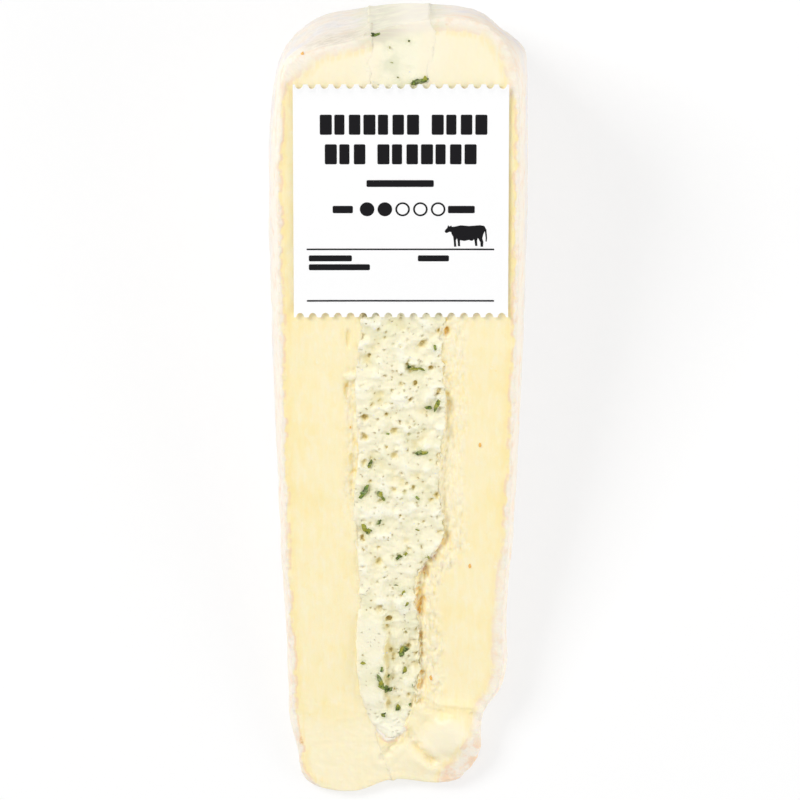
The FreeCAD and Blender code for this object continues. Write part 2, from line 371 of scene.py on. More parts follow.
def kept_faces(piece, wanted):
    """Deletes every face for which wanted isn't true."""
    select_faces(piece, lambda centre, normal: not wanted(centre, normal))
    bpy.ops.mesh.delete(type="FACE")
    edited()
    return piece


def finer_faces(piece, wanted):
    """Divides the wanted faces once each way."""
    select_faces(piece, wanted)
    bpy.ops.mesh.subdivide(number_cuts=1)
    edited()


def smooth(piece):
    pick(piece)
    bpy.ops.object.shade_smooth()


def shaped(piece, build):
    """Runs the piece's mesh through the node group that build makes, and applies it."""
    tree = bpy.data.node_groups.new(piece.name + "_shape", "GeometryNodeTree")
    tree.interface.new_socket("Geometry", in_out="INPUT", socket_type="NodeSocketGeometry")
    tree.interface.new_socket("Geometry", in_out="OUTPUT", socket_type="NodeSocketGeometry")
    graph = Graph(tree)
    graph.add("NodeGroupOutput", {}, {0: build(graph, graph.add("NodeGroupInput"))})
    apply(piece, "NODES", node_group=tree)


def stored(graph, shape, name, value, kind="FLOAT"):
    """Keeps a field on the mesh's points under this name."""
    sockets = {"Geometry": shape, "Name": name, "Value": value}
    return graph.add("GeometryNodeStoreNamedAttribute", {"data_type": kind}, sockets)


def distance_to(graph, target, element="FACES"):
    """Millimetres from each point to the nearest face or edge of another object."""
    other = graph.add("GeometryNodeObjectInfo", {}, {"Object": target}, "Geometry")
    return graph.add("GeometryNodeProximity", {"target_element": element}, {0: other}, "Distance") / MM


def moved(graph, shape, offset, unit=MM):
    """Moves the points by an offset in that unit, which is a millimetre unless told otherwise."""
    return graph.add("GeometryNodeSetPosition", {}, {"Geometry": shape, "Offset": graph.scaled(offset, unit)})


def put(graph, shape, place):
    """Puts the points at a place in metres."""
    return graph.add("GeometryNodeSetPosition", {}, {"Geometry": shape, "Position": place})


class Spot:
    """Where a point lies on the wedge, as fields in millimetres."""

    def __init__(self, graph):
        self.metres = graph.add("GeometryNodeInputPosition")
        self.mm = graph.scaled(self.metres, 1 / MM)
        self.x, y, self.z = graph.split(self.mm)
        self.along = y - TIP
        from_origin = graph.vector("SUBTRACT", self.mm, tuple(ORIGIN))
        self.height = graph.vector("DOT_PRODUCT", from_origin, tuple(UP), "Value")
        self.normal = graph.add("GeometryNodeInputNormal")
        self.facing = graph.vector("DOT_PRODUCT", self.normal, tuple(UP), "Value")

    def under_label(self):
        """1 under the label, fading out just past its edges."""
        across = self.x.rise(LABEL_LOW.x - 1.0, LABEL_LOW.x) * self.x.rise(LABEL_HIGH.x + 1.0, LABEL_HIGH.x)
        low, high = LABEL_LOW.y - TIP, LABEL_HIGH.y - TIP
        return across * self.along.rise(low - 0.6, low + 1.2) * self.along.rise(high + 0.6, high - 1.2)


def dents(spot, places):
    """The sum of named dents and lumps, each given as x, along, half its width, half its length and depth."""
    total = 0.0
    for x, along, width, length, depth in places:
        away = ((spot.x - x) / width) ** 2 + ((spot.along - along) / length) ** 2
        total = away.rise(1.0, 0.15) * depth + total
    return total


def grounded(graph, shape):
    """Keeps every point on or above the surface that the wedge lies on."""
    x, y, z = graph.split(graph.add("GeometryNodeInputPosition"))
    return put(graph, shape, graph.joined(x, y, z.most(0.0)))


# ---------------------------------------------------------------- settings


class BrieSettings(bpy.types.PropertyGroup):
    """The two halves of the cheese."""

    grain: size("Mesh spacing", 0.55, "Spacing of the points on the sides; the upper cut face has half of it")
    rind: size("Rind thickness", 0.9, "Depth of the white rind at the cut face")
    tear: size("Torn band", 1.4, "Relief of the strands in the torn band beside the cream")
    wrinkles: size("Wrinkles", 0.9, "Relief of the rind's outside")
    heel_corner: size("Heel corner", 3.4, "How far the heel's left corner is drawn up along the cut face")
    seam: size("Seam", 0.2, "How far the halves reach into the cream, and rise over it on the rim")
    paste: colour("Paste", 254, 239, 194, "Main colour of the cut face")
    # deep_paste also paints shade in the hollows and creases of the cut face
    deep_paste: colour("Deep paste", 253, 228, 150, "Yellow of the riper flecks and the hollows")
    # pale_paste also paints a highlight on raised relief
    pale_paste: colour("Pale paste", 254, 244, 217, "Fat flecks, and the soft paste under the rind")
    # amber also paints shade in the deepest hollows; the specks and spots are real
    amber: colour("Amber", 243, 192, 84, "Deepest hollows beside the cream, and the rare specks")
    rind_white: colour("Rind", 249, 240, 225, "White bloom")
    rind_worn: colour("Worn rind", 246, 216, 186, "Peach patches where the bloom has worn off")
    # Painted shade: the lilac grey laid on the rind's lower sides
    rind_shade: colour("Cool rind", 234, 231, 232, "Lilac grey of the thickest bloom")
    heel_grey: colour("Heel", 219, 209, 193, "Greyish rim of the heel")
    herb_stain: colour("Herb stain", 228, 227, 200, "Green tint where the cream reaches the rim")
    rust: colour("Rust", 226, 166, 98, "Small orange-brown spots along the rind")


class CreamSettings(bpy.types.PropertyGroup):
    """The herb cream and what is in it."""

    grain: size("Mesh spacing", 0.45, "Spacing of the points on the sides; the upper cut face has half of it")
    lumps: size("Lumps", 2.4, "Relief of the lumps of cream")
    pit_depth: size("Pit depth", 0.85, "Depth of the larger scattered pits")
    smear: size("Smear", 0.85, "How far the smooth smear near the tip stands up")
    cream: colour("Cream", 250, 243, 213, "Main colour of the filling")
    # ridge is a painted highlight on raised bits; at the heel and tip it is the cream's paler colour
    ridge: colour("Ridge", 253, 250, 230, "Raised bits of cream")
    shade: colour("Shaded cream", 234, 231, 192, "Grey-green of the wetter patches")
    # hollow is painted shade in the cream's low parts
    hollow: colour("Hollow", 236, 218, 148, "Yellow of the hollows")
    # painted shade at the bottom of the pits
    pit: colour("Pit", 192, 164, 82, "Bottom of the pits")
    juice: colour("Herb juice", 205, 208, 158, "Tint of the cream round the herbs")
    chive: colour("Chive", 96, 130, 46, "Cut chives")
    leaf: colour("Leaf", 116, 138, 48, "Torn leaves")
    speck: colour("Speck", 172, 158, 84, "Dried specks")
    seed: IntProperty(name="Seed", description="Where the scattered herbs lie", default=11)
    chives: IntProperty(name="Chives", description="Scattered small pieces of chive", default=5, min=0)
    leaves: IntProperty(name="Leaves", description="Scattered bits of leaf", default=13, min=0)
    specks: FloatProperty(name="Specks", description="Specks on each square centimetre", default=4.5, min=0.0)


class LabelSettings(bpy.types.PropertyGroup):
    """The paper label and its print."""

    scallops: IntProperty(name="Scallops", description="Bites in each end of the paper", default=17, min=1)
    bite: size("Bite depth", 0.85, "How far each bite reaches into the paper")
    overhang: size("Overhang", 0.9, "How much longer the paper is than the part's label, at its lower end")
    thickness: size("Paper thickness", 0.12, "Thickness of the paper")
    curl: size("Curl", 0.4, "How far the paper's free edges lift")
    paper: colour("Paper", 252, 252, 252, "Label paper")
    ink: colour("Ink", 22, 21, 24, "Print")


class StageSettings(bpy.types.PropertyGroup):
    """Floor, light and camera."""

    floor: colour("Floor", 250, 250, 250, "Plain floor")
    sky: FloatProperty(name="Sky", description="Strength of the light from all round", default=0.62, min=0.0)
    lamp: power("Lamp", 6.2, "Power of the soft lamp, upper left")
    fill: power("Fill", 2.6, "Power of the low lamp on the right")
    height: length("Camera height", 1.26, "Camera above the floor")
    view: length("View", 0.1509, "Width of floor in view")


# ---------------------------------------------------------------- materials


def new_material(name):
    """An empty node material, and its graph."""
    material = bpy.data.materials.new(name)
    material.use_nodes = True
    material.node_tree.nodes.clear()
    return material, Graph(material.node_tree)


def finish_material(graph, sockets):
    """Adds the surface shader with these sockets and the output."""
    shader = graph.add("ShaderNodeBsdfPrincipled", {}, sockets)
    graph.add("ShaderNodeOutputMaterial", {}, {0: shader})


def attribute(graph, name, out="Fac"):
    """A value kept on the mesh."""
    return graph.add("ShaderNodeAttribute", {"attribute_name": name}, {}, out)


def home(graph):
    """The point's place before the fine shaping, millimetres, so that patterns sit in their own dents."""
    return graph.scaled(attribute(graph, "home", "Vector"), 1 / MM)


def object_place(graph):
    """The point's place, millimetres."""
    return graph.scaled(graph.add("ShaderNodeTexCoord", {}, {}, "Object"), 1 / MM)


def height_above_cut(graph, where):
    """Millimetres above the upper cut face."""
    from_origin = graph.vector("SUBTRACT", where, tuple(ORIGIN))
    return graph.vector("DOT_PRODUCT", from_origin, tuple(UP), "Value")


def bump(graph, height, depth):
    """Normals for a height field, where 1 stands depth millimetres above 0."""
    sockets = {"Strength": 1.0, "Distance": depth * MM, "Height": height}
    return graph.add("ShaderNodeBump", {}, sockets, "Normal")


def brie_material(look):
    """Yellow paste on the cuts and white rind outside, told apart by the distance to the rind."""
    material, graph = new_material("brie")
    where = home(graph)
    x, y, z = graph.split(where)
    along = y - TIP
    height = height_above_cut(graph, where)
    rind, cream, lift, torn = (attribute(graph, name) for name in ("rind", "cream", "lift", "torn"))
    rough = graph.noise(where, 2.4, 3.0)
    fine = graph.noise(where, 0.45, 3.0, 0.6)
    clouds = graph.noise(where, 11.0, 2.0)
    mottle = graph.noise(graph.joined(x, y * 0.5, z), 1.6, 4.0, 0.65)
    streaks = graph.noise(graph.joined(x, y * 0.1, z * 0.5), 0.7, 3.0)
    strands = graph.noise(graph.joined(x, y * 0.2, z), 0.5, 3.0, 0.6)
    ribs = graph.noise(graph.joined(x * 0.1, y, z), 0.6, 3.0)
    worn = graph.noise(graph.vector("ADD", where, (5.0, 40.0, 9.0)), 2.8, 4.0, 0.6).rise(0.46, 0.72)
    # patches in which the painted shade on the rind's lower sides is stronger
    shade_patches = graph.noise(graph.vector("ADD", where, (50.0, 4.0, 19.0)), 5.0, 3.0).rise(0.36, 0.7)
    flecks = graph.pits(graph.joined(x, y * 0.6, z), 4.6, 0.9, 0.4)
    spots = graph.pits(graph.vector("ADD", where, (31.0, 7.0, 3.0)), 5.0, 0.7, 0.6)
    specks = graph.pits(graph.joined(x, y * 0.55, z), 13.0, 0.5, 0.8)
    rust = graph.pits(graph.joined(x, y * 0.7, z), 3.0, 0.85, 0.6)

    # where the rind is wider or fades into the paste: the heel, the roll right of the tip, the right side
    heel = along.rise(126.0, 133.0)
    roll = x.rise(5.0, 9.0) * along.rise(11.5, 8.0)
    soft_side = x.rise(9.0, 13.0) * along.rise(56.0, 36.0)
    edge = rind - (rough - 0.5) * 1.6 - (clouds - 0.5) * 1.4 - roll * 2.2 - heel * 1.1 - soft_side * 0.9
    white = edge.rise(look.rind, look.rind - 0.5)
    faded = edge.rise(look.rind + 1.3, look.rind - 1.3)
    white = white + (faded - white) * heel.most(roll * 0.77).most(soft_side * 0.9)
    under = edge.rise(look.rind + 1.8, look.rind + 0.4)
    paste = graph.layered(
        look.paste,
        (clouds.rise(0.42, 0.7) * 0.3, look.deep_paste),
        (streaks.rise(0.46, 0.7) * 0.3, look.pale_paste),
        (streaks.rise(0.48, 0.3) * 0.14, look.deep_paste),
        (mottle.rise(0.5, 0.68) * 0.4, look.pale_paste),
        (mottle.rise(0.46, 0.32) * 0.25, look.deep_paste),
        (flecks.rise(0.1, 0.5) * fine.rise(0.42, 0.6) * 0.8, look.pale_paste),
        (spots.rise(0.0, 0.5) * fine.rise(0.42, 0.6) * 0.7, look.deep_paste),
        (specks.rise(0.15, 0.4), look.amber),
        # painted highlight: raised relief paler; painted shade: hollows, creases and folds deep yellow, the
        # deepest amber
        (lift.rise(0.08, 0.5) * 0.8, look.pale_paste),
        (lift.rise(-0.12, -0.7) * 0.85, look.deep_paste),
        (lift.rise(-0.5, -1.3) * 0.75, look.amber),
        (torn * strands.rise(0.36, 0.6) * 0.7, look.pale_paste),
        (heel * (0.7 + cream.rise(5.5, 0.5) * 0.3), look.pale_paste),
        (along.rise(17.0, 11.0) * 0.5, look.pale_paste),
        (under * streaks.rise(0.35, 0.6) * 0.5, look.deep_paste),
    )
    # painted shade: lilac grey down the rind's lower sides, patchy, and left off the roll at the tip
    side_shade = height.rise(-5.0, -13.0)
    rim = along.rise(136.0, 139.5) * rind.rise(0.5, 0.0) * (0.4 + height.rise(-12.0, -4.0) * 0.6)
    skin = graph.layered(
        look.rind_white,
        (worn * 0.6, look.rind_worn),
        # painted shade on the rind's lower sides
        (side_shade * (0.25 + shade_patches * 0.7) * (1 - roll), look.rind_shade),
        (roll * rough.rise(0.42, 0.58) * 0.88, look.rind_worn),
        (rim * (0.45 + ribs.rise(0.4, 0.6) * 0.55) * x.rise(9.0, 1.0), look.heel_grey),
        (rim * x.rise(4.0, 9.0) * ribs.rise(0.4, 0.6) * 0.35, look.rind_worn),
        (specks.rise(0.1, 0.35) * 0.8, look.amber),
        (heel * cream.rise(5.0, 0.5) * (0.3 + ribs.rise(0.35, 0.65) * 0.4), look.herb_stain),
    )
    blush = edge.rise(look.rind - 1.0, look.rind - 0.3) * edge.rise(look.rind + 0.4, look.rind)
    border = edge.rise(look.rind - 1.2, look.rind - 0.6) * edge.rise(look.rind + 0.5, look.rind)
    tint = graph.layered(
        paste,
        (blush * rough.rise(0.4, 0.58) * 0.8, look.rind_worn),
        (white, skin),
        (border * rust.rise(0.1, 0.6) * fine.rise(0.3, 0.6) * 0.7, look.rust),
    )
    relief = graph.noise(where, 0.35, 2.0) * 0.35 + streaks * 0.4 + ribs * white * 0.6 + fine * white * 0.9
    finish_material(graph, {
        "Base Color": tint,
        "Roughness": 0.42 + white * 0.33,
        "Normal": bump(graph, relief, 0.13),
        "Subsurface Weight": 0.2,
        "Subsurface Radius": (1.0, 0.62, 0.3),
        "Subsurface Scale": 0.001,
        "Specular IOR Level": 0.35,
    })
    return material


def cream_material(look, brie_look):
    """Pale moist cream with a painted highlight on raised bits, painted shade in hollows (yellow) and pits
    (darker), herb juice, and the stained rind at the heel.
    """
    material, graph = new_material("herb_cream")
    where = home(graph)
    x, y, z = graph.split(where)
    along = y - TIP
    names = ("pit", "juice", "lift", "rind", "beside")
    pit, juice, lift, rind, beside = (attribute(graph, name) for name in names)
    patches = graph.noise(where, 3.6, 3.0)
    fine = graph.noise(where, 0.4, 3.0, 0.6)
    ribs = graph.noise(graph.joined(x * 0.1, y, z), 0.6, 3.0)
    heel = along.rise(128.0, 134.0)
    top = height_above_cut(graph, where).rise(-2.5, -1.0)
    warped = graph.vector("ADD", where, graph.scaled(graph.noise(where, 0.5, 2.0, 0.5, "Color"), 0.5))
    small = graph.pits(warped, 0.8, 0.34, 0.5)
    tiny = graph.pits(graph.vector("ADD", warped, (9.0, 3.0, 1.0)), 1.3, 0.3, 0.4)
    holes = small.rise(0.1, 0.7).most(tiny.rise(0.1, 0.6)) * (1 - heel)
    skin = graph.layered(
        brie_look.herb_stain,
        (ribs.rise(0.35, 0.65) * 0.8, brie_look.heel_grey),
        (x.rise(-3.0, 3.0) * 0.8, brie_look.rind_white),
    )
    tint = graph.layered(
        look.cream,
        (patches.rise(0.45, 0.68) * 0.6, look.shade),
        # painted highlight on raised bits, painted shade in low parts
        (lift.rise(0.05, 0.5) * 0.8, look.ridge),
        (lift.rise(-0.15, -0.9) * 0.7, look.hollow),
        (juice * fine.rise(0.35, 0.65) * 0.5, look.juice),
        # painted shade in the small pits and the larger ones
        (holes * patches.rise(0.3, 0.6) * 0.6, look.pit),
        (pit.rise(0.3, 0.95) * fine.rise(0.2, 0.6), look.pit),
        (heel * 0.4, look.ridge),
        (heel * x.rise(3.0, -2.0) * patches.rise(0.35, 0.6) * 0.7, brie_look.herb_stain),
        (heel * top * beside.rise(2.6, 0.4), brie_look.pale_paste),
        (along.rise(17.0, 13.0) * 0.6, look.ridge),
        (beside.rise(0.8, 0.1) * x.rise(0.0, -3.0) * 0.6, brie_look.pale_paste),
        (rind.rise(3.4, 0.6) * (0.6 + patches.rise(0.3, 0.6) * 0.4), skin),
    )
    relief = graph.noise(where, 0.6, 3.0, 0.6) * (0.6 - heel * 0.4) + fine * 0.3 - holes * 0.8
    finish_material(graph, {
        "Base Color": tint,
        "Roughness": 0.34 + fine * 0.22,
        "Normal": bump(graph, relief, 0.2),
        "Subsurface Weight": 0.15,
        "Subsurface Radius": (1.0, 0.8, 0.5),
        "Subsurface Scale": 0.0008,
        "Specular IOR Level": 0.4,
    })
    return material


def herb_material(name, main, look, wet, shade_share=0.16):
    """Wet green with darker patches of painted shade, lighter yellow-green patches of painted highlight, and
    cream smeared on it; the last argument is how bright the painted shade is.
    """
    material, graph = new_material(name)
    where = object_place(graph)
    veins = graph.noise(where, 0.35, 3.0)
    smears = graph.noise(where, 1.1, 2.0)
    light_patches = graph.noise(graph.vector("ADD", where, (3.0, 8.0, 2.0)), 1.7, 2.0)
    highlight_gain = (2.3, 1.5, 1.0)
    tint = graph.layered(
        main,
        # painted shade: darker patches of the same green
        (veins.rise(0.42, 0.62), [c * shade_share for c in main]),
        # painted highlight: lighter yellow-green patches
        (light_patches.rise(0.47, 0.6) * 0.8, [c * more for c, more in zip(main, highlight_gain)]),
        (smears.rise(0.5, 0.7) * 0.35, look.juice),
    )
    finish_material(graph, {
        "Base Color": tint,
        "Roughness": wet + veins * 0.2,
        "Normal": bump(graph, veins, 0.08),
        "Specular IOR Level": 0.5,
    })
    return material


def spot_material(look):
    """Dried amber and rust."""
    material, graph = new_material("amber_spots")
    where = object_place(graph)
    blend = graph.noise(where, 0.4, 2.0)
    tint = graph.mix(blend, look.amber, look.rust)
    finish_material(graph, {"Base Color": tint, "Roughness": 0.4 + blend * 0.2})
    return material


def paper_material(look):
    """Smooth white paper with a faint fibre."""
    material, graph = new_material("label_paper")
    where = object_place(graph)
    fibre = graph.noise(where, 0.25, 3.0, 0.6)
    finish_material(graph, {
        "Base Color": graph.mix(fibre * 0.05, look.paper, tuple(c * 0.8 for c in look.paper)),
        "Roughness": 0.5 + fibre * 0.12,
        "Normal": bump(graph, fibre, 0.01),
    })
    return material


def ink_material(look):
    """Black print, very slightly uneven."""
    material, graph = new_material("label_ink")
    where = object_place(graph)
    grain = graph.noise(where, 0.3, 2.0)
    finish_material(graph, {
        "Base Color": graph.mix(grain * 0.004, look.ink, look.paper),
        "Roughness": 0.6 + grain * 0.15,
        "Specular IOR Level": 0.08,
    })
    return material


# ---------------------------------------------------------------- pieces


class BRIE_OT_halves(bpy.types.Operator):
    """Make the two brie halves with their rind, cut faces and squashed tip"""

    bl_idname = "brie.halves"
    bl_label = "Brie halves"

    creases = (
        ((3.4, 17.6), (5.6, 16.2), (7.8, 15.2), (10.6, 15.4), (13.6, 14.8), (15.9, 12.6)),
        ((1.2, 12.3), (2.6, 9.5), (4.4, 7.4), (6.9, 5.6)),
        ((-2.9, 6.6), (-1.4, 8.5), (0.5, 10.2), (1.2, 12.1)),
    )

    # a flake and pits by the cream, on each side: x, along, half width, half length, depth
    marks = {
        -1: (
            (-8.9, 78.0, 1.5, 0.9, -0.6),
            (-9.3, 85.0, 0.6, 2.3, 0.45),
            (-9.6, 75.6, 0.7, 1.6, 0.35),
        ),
        1: (
            (8.9, 86.2, 0.7, 1.1, 0.9),
            (5.3, 41.5, 0.9, 1.9, 0.8),
            (4.6, 36.0, 1.0, 1.4, 0.8),
            (4.0, 29.5, 0.7, 1.6, 0.6),
        ),
    }

    def execute(self, context):
        look = context.scene.brie_look
        cream = copy_of("herb_filling", "cream_guide")
        folds = joined(
            [drawn("fold", [on_face(*point, 0.6) for point in line]) for line in self.creases], "fold_guide"
        )
        material = brie_material(look)
        names = {-1: "brie_half_left", 1: "brie_half_right"}
        for side, name in names.items():
            rind = kept_faces(
                copy_of(name, "rind_guide"),
                lambda centre, normal: abs(normal.z) < 0.6 and (normal.x * side > 0.35 or normal.y > 0.6),
            )
            other = copy_of(names[-side], "other_guide")
            half = copy_of(name, name + "_look")
            apply(half, "REMESH", mode="VOXEL", voxel_size=look.grain * MM)
            finer_faces(half, lambda centre, normal: normal.dot(UP) > 0.8)
            guides = (rind, cream, other, folds)
            shaped(half, lambda graph, shape: self.relief(graph, shape, look, guides, side))
            smooth(half)
            half.data.materials.append(material)
            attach(half, "root")
            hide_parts(name)
            bpy.data.objects.remove(rind)
            bpy.data.objects.remove(other)
        bpy.data.objects.remove(cream)
        bpy.data.objects.remove(folds)
        return {"FINISHED"}

    def relief(self, graph, shape, look, guides, side):
        """Knife marks, the torn band beside the cream, the folds at the tip and the wrinkled rind."""
        spot = Spot(graph)
        outer, inner, other = (distance_to(graph, guide) for guide in guides[:3])
        seam = inner.least(other)
        shape = stored(graph, shape, "home", spot.metres, "FLOAT_VECTOR")
        shape = stored(graph, shape, "rind", outer)
        shape = stored(graph, shape, "cream", inner)
        face = spot.height.rise(-1.6, -0.6) * spot.facing.rise(0.2, 0.7)
        free = 1 - spot.under_label()
        rough = graph.noise(spot.mm, 1.1, 3.0)
        wavy = graph.noise(spot.mm, 4.0, 2.0)

        drag = graph.joined(spot.x + (wavy - 0.5) * 2.0, spot.along * 0.14, spot.z)
        strands = graph.noise(drag, 0.8, 3.0, 0.6)
        up = (graph.noise(drag, 1.8, 2.0) - 0.5) * 0.25 + (graph.noise(spot.mm, 8.0, 2.0) - 0.5) * 0.5
        lip = outer.rise(2.4, 0.8)
        up = up + lip * (graph.noise(spot.mm, 2.6, 3.0) - 0.42) * 0.7
        if side > 0:
            ends = spot.along.rise(14.5, 19.0) * spot.along.rise(129.0, 124.0)
            deep = spot.along.rise(52.0, 44.0)
            band = (inner + (wavy - 0.5) * 4.0).rise(6.0, 3.6) * ends
            torn = band
            up = up + band * (strands - 0.49) * (look.tear + deep * 0.9) + band * (rough - 0.5) * 0.4
            hollow = inner.rise(2.6, 0.6) * (rough * 0.5 + wavy * 0.5).rise(0.44, 0.56) * ends
            up = up - hollow * (0.45 + deep * 0.3)
            # painted shade: the hollows by the cream are coloured deeper yellow than their depth alone gives
            hollow_shade = hollow * (0.35 + deep * 0.4)
        else:
            band = inner.rise(3.2, 1.8) * spot.along.rise(48.0, 58.0) * spot.along.rise(84.0, 76.0)
            torn = band
            hollow_shade = band * 0.1
            up = up + band * ((strands - 0.5) * 1.6 - 0.3)
            up = up + inner.rise(1.2, 0.4) * (rough - 0.45) * 0.6 * spot.along.rise(12.0, 16.0)
        up = up - dents(spot, self.marks[side]) * (0.7 + rough * 0.6)
        shape = stored(graph, shape, "torn", torn * face)
        fold = distance_to(graph, guides[3], "EDGES") + (rough - 0.5) * 1.1
        tip = spot.along.rise(20.0, 16.0)
        depth = 0.4 + spot.along.rise(13.0, 11.0) * 0.5
        up = up - fold.rise(0.9, 0.05) * depth * tip + fold.rise(0.9, 1.4) * fold.rise(3.0, 1.6) * 0.3 * tip
        lobe = (((spot.x - 8.8) / 5.6) ** 2 + ((spot.along - 10.4) / 4.0) ** 2).rise(1.0, 0.1)
        up = up + tip * (rough - 0.5) * 0.4 * (1 - lobe * 0.7) + lobe * 0.7
        # lift steers the painted highlight and shade of the paste; the extra painted shade of the hollows is
        # taken off it
        lift = up * (1 - spot.along.rise(126.0, 131.0) * 0.5) * (1 - tip * 0.35)
        shape = stored(graph, shape, "lift", face * free * (lift - hollow_shade))

        corner = seam.rise(0.9, 0.45) * spot.height.rise(-1.0, -0.7)
        filled = (0 - spot.height).most(0.0) * corner
        offset = graph.scaled(tuple(UP), face * free * up + filled)
        heel = spot.x.rise(-15.5, -21.5) * spot.along.rise(117.0, 131.0) * spot.height.rise(-13.0, -2.0)
        offset = graph.vector("ADD", offset, graph.scaled(tuple(ALONG), heel * look.heel_corner))
        skin = outer.rise(0.5, 0.15) * (1 - face * 0.7)
        bulges = graph.noise(spot.mm, 9.0, 2.0) - 0.5
        out = bulges * look.wrinkles + (graph.noise(spot.mm, 1.6, 3.0) - 0.5) * 0.3
        wrinkles = graph.noise(graph.joined(spot.x * 0.15, spot.along, spot.z), 1.3, 3.0)
        out = out + (wrinkles - 0.5) * 0.5 * spot.along.rise(134.0, 139.0)
        roll = spot.x.rise(5.0, 8.0) * spot.along.rise(12.5, 9.0)
        out = out + (rough - 0.4) * 1.2 * roll
        hug = seam.rise(0.45, 0.2) * (1 - face) * look.seam
        offset = graph.vector("ADD", offset, graph.scaled(spot.normal, skin * out + hug))
        offset = graph.vector("ADD", offset, graph.joined(0.0, rim_fill(spot, seam) * look.seam, 0.0))
        return grounded(graph, moved(graph, shape, offset))


def rim_fill(spot, gap):
    """1 beside a seam on the heel's rim and 0 elsewhere: where points move out, so that the rim runs on."""
    return gap.rise(0.7, 0.2) * spot.along.rise(138.0, 140.0)


class BRIE_OT_cream(bpy.types.Operator):
    """Make the herb cream with its pits, lumps and ragged edges"""

    bl_idname = "brie.cream"
    bl_label = "Herb cream"

    # the biggest pits: x, along, half width, half length, depth
    marks = (
        (3.1, 76.7, 0.6, 0.7, 0.9), (2.7, 57.4, 0.45, 0.55, 0.8), (1.2, 56.6, 0.4, 0.5, 0.7),
        (-1.8, 32.8, 0.85, 0.7, 1.0), (-3.4, 71.1, 1.4, 1.1, 0.55), (1.6, 80.2, 0.5, 0.5, 0.8),
        (5.9, 79.6, 0.6, 0.5, 0.9), (-2.2, 70.9, 0.4, 0.5, 0.7), (2.4, 73.9, 0.5, 0.5, 0.6),
        (1.9, 67.4, 0.5, 0.4, 0.6), (-1.6, 26.6, 0.4, 0.4, 0.7),
    )

    def execute(self, context):
        look = context.scene.cream_look
        rind = kept_faces(copy_of("herb_filling", "rind_guide"), lambda centre, normal: normal.y > 0.6)
        sides = ("brie_half_left", "brie_half_right")
        halves = joined([copy_of(name, "halves_guide") for name in sides], "halves")
        cream = copy_of("herb_filling", "herb_cream_look")
        apply(cream, "REMESH", mode="VOXEL", voxel_size=look.grain * MM)
        shown = LABEL_LOW.y + 2.0  # the cream is open to view up to here, and the label hides the rest
        finer_faces(
            cream,
            lambda centre, normal: normal.dot(UP) > -0.2 and above(centre) > -2.0 and centre.y < shown,
        )
        seam = context.scene.brie_look.seam
        shaped(cream, lambda graph, shape: self.relief(graph, shape, look, seam, rind, halves))
        smooth(cream)
        cream.data.materials.append(cream_material(look, context.scene.brie_look))
        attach(cream, "root")
        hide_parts("herb_filling")
        bpy.data.objects.remove(rind)
        bpy.data.objects.remove(halves)
        return {"FINISHED"}

    def relief(self, graph, shape, look, seam, rind, halves):
        """Lumps and pits on the cut, a smooth smear near the tip, and flaps that spill over the paste."""
        spot = Spot(graph)
        shape = stored(graph, shape, "home", spot.metres, "FLOAT_VECTOR")
        beside = distance_to(graph, halves)
        shape = stored(graph, shape, "rind", distance_to(graph, rind))
        shape = stored(graph, shape, "beside", beside)
        face = spot.height.rise(-1.0, -0.2) * spot.facing.rise(0.1, 0.6)
        free = 1 - spot.under_label()
        heel = spot.along.rise(127.0, 132.0)
        wobble = graph.noise(spot.mm, 0.9, 2.0, 0.5, "Color")
        warped = graph.vector("ADD", spot.mm, graph.scaled(wobble, 1.1))
        lumps = (graph.noise(warped, 3.2, 1.0) - 0.5) * look.lumps
        lumps = lumps + (graph.noise(warped, 1.3, 1.0) - 0.5) * 0.6
        big = graph.pits(warped, 2.7, 1.15, 0.45)
        small = graph.pits(graph.vector("ADD", warped, (17.0, 5.0, 2.0)), 1.4, 0.6, 0.25)
        border = spot.x + 2.6 + (graph.noise(spot.mm, 3.0, 2.0) - 0.5) * 2.4
        smear = border.rise(0.12, -0.12) * spot.along.rise(15.5, 18.0) * spot.along.rise(37.0, 31.0)
        nose = spot.along.rise(14.0, 11.0)
        calm = 1 - smear.most(heel * 0.8).most(nose * 0.7)
        inner = border.rise(-0.4, 0.4) * spot.along.rise(13.0, 17.0) * spot.along.rise(35.0, 29.0)
        up = lumps * (0.25 + calm * 0.75) * (1 - heel * 0.6) + smear * look.smear - inner * 0.6
        named = dents(spot, self.marks)
        up = up - (big.rise(0.0, 0.45) * look.pit_depth + small.rise(0.0, 0.6) * 0.45) * calm - named
        pitted = (big.rise(0.1, 0.8).most(small.rise(0.2, 0.9)) * calm).most(named.rise(0.55, 0.9))
        # where the pits get their painted shade
        shape = stored(graph, shape, "pit", pitted * face)
        # painted shadow just right of the smear's edge; lift steers the cream's painted highlight and shade
        ledge_shadow = inner * border.rise(-0.1, 0.15) * border.rise(1.3, 0.3)
        shape = stored(graph, shape, "lift", (up - smear * 0.65 + inner * 0.45 - ledge_shadow * 0.7) * face * free)
        filled = (0 - spot.height).most(0.0) * spot.height.rise(-0.8, -0.5) * (1 - heel * 0.3)
        rim = spot.height.rise(-2.0, -0.8) * free * (1 - heel * 0.8)
        ragged = (graph.noise(spot.mm, 2.0, 3.0, 0.6) - 0.42) * 2.6
        right = spot.x.rise(-1.0, 1.0)
        flap = heel * spot.height.rise(-0.05, -0.35) * spot.height.rise(-1.0, -0.6)
        walls = 0.25 + rim * ragged.most(-0.3) * (0.35 + right * 0.65) + flap * (0.9 + ragged.most(0.0) * 0.5)
        up = up + heel * 0.06
        walls = walls + spot.along.rise(137.6, 139.2) * 0.4
        offset = graph.scaled(tuple(UP), face * free * up + filled)
        aside = graph.split(spot.normal)[0] * walls
        offset = graph.vector("ADD", offset, graph.joined(aside, rim_fill(spot, beside) * seam, 0.0))
        return grounded(graph, moved(graph, shape, offset))


def above(centre):
    """Millimetres above the upper cut face."""
    return (centre - ORIGIN).dot(UP)


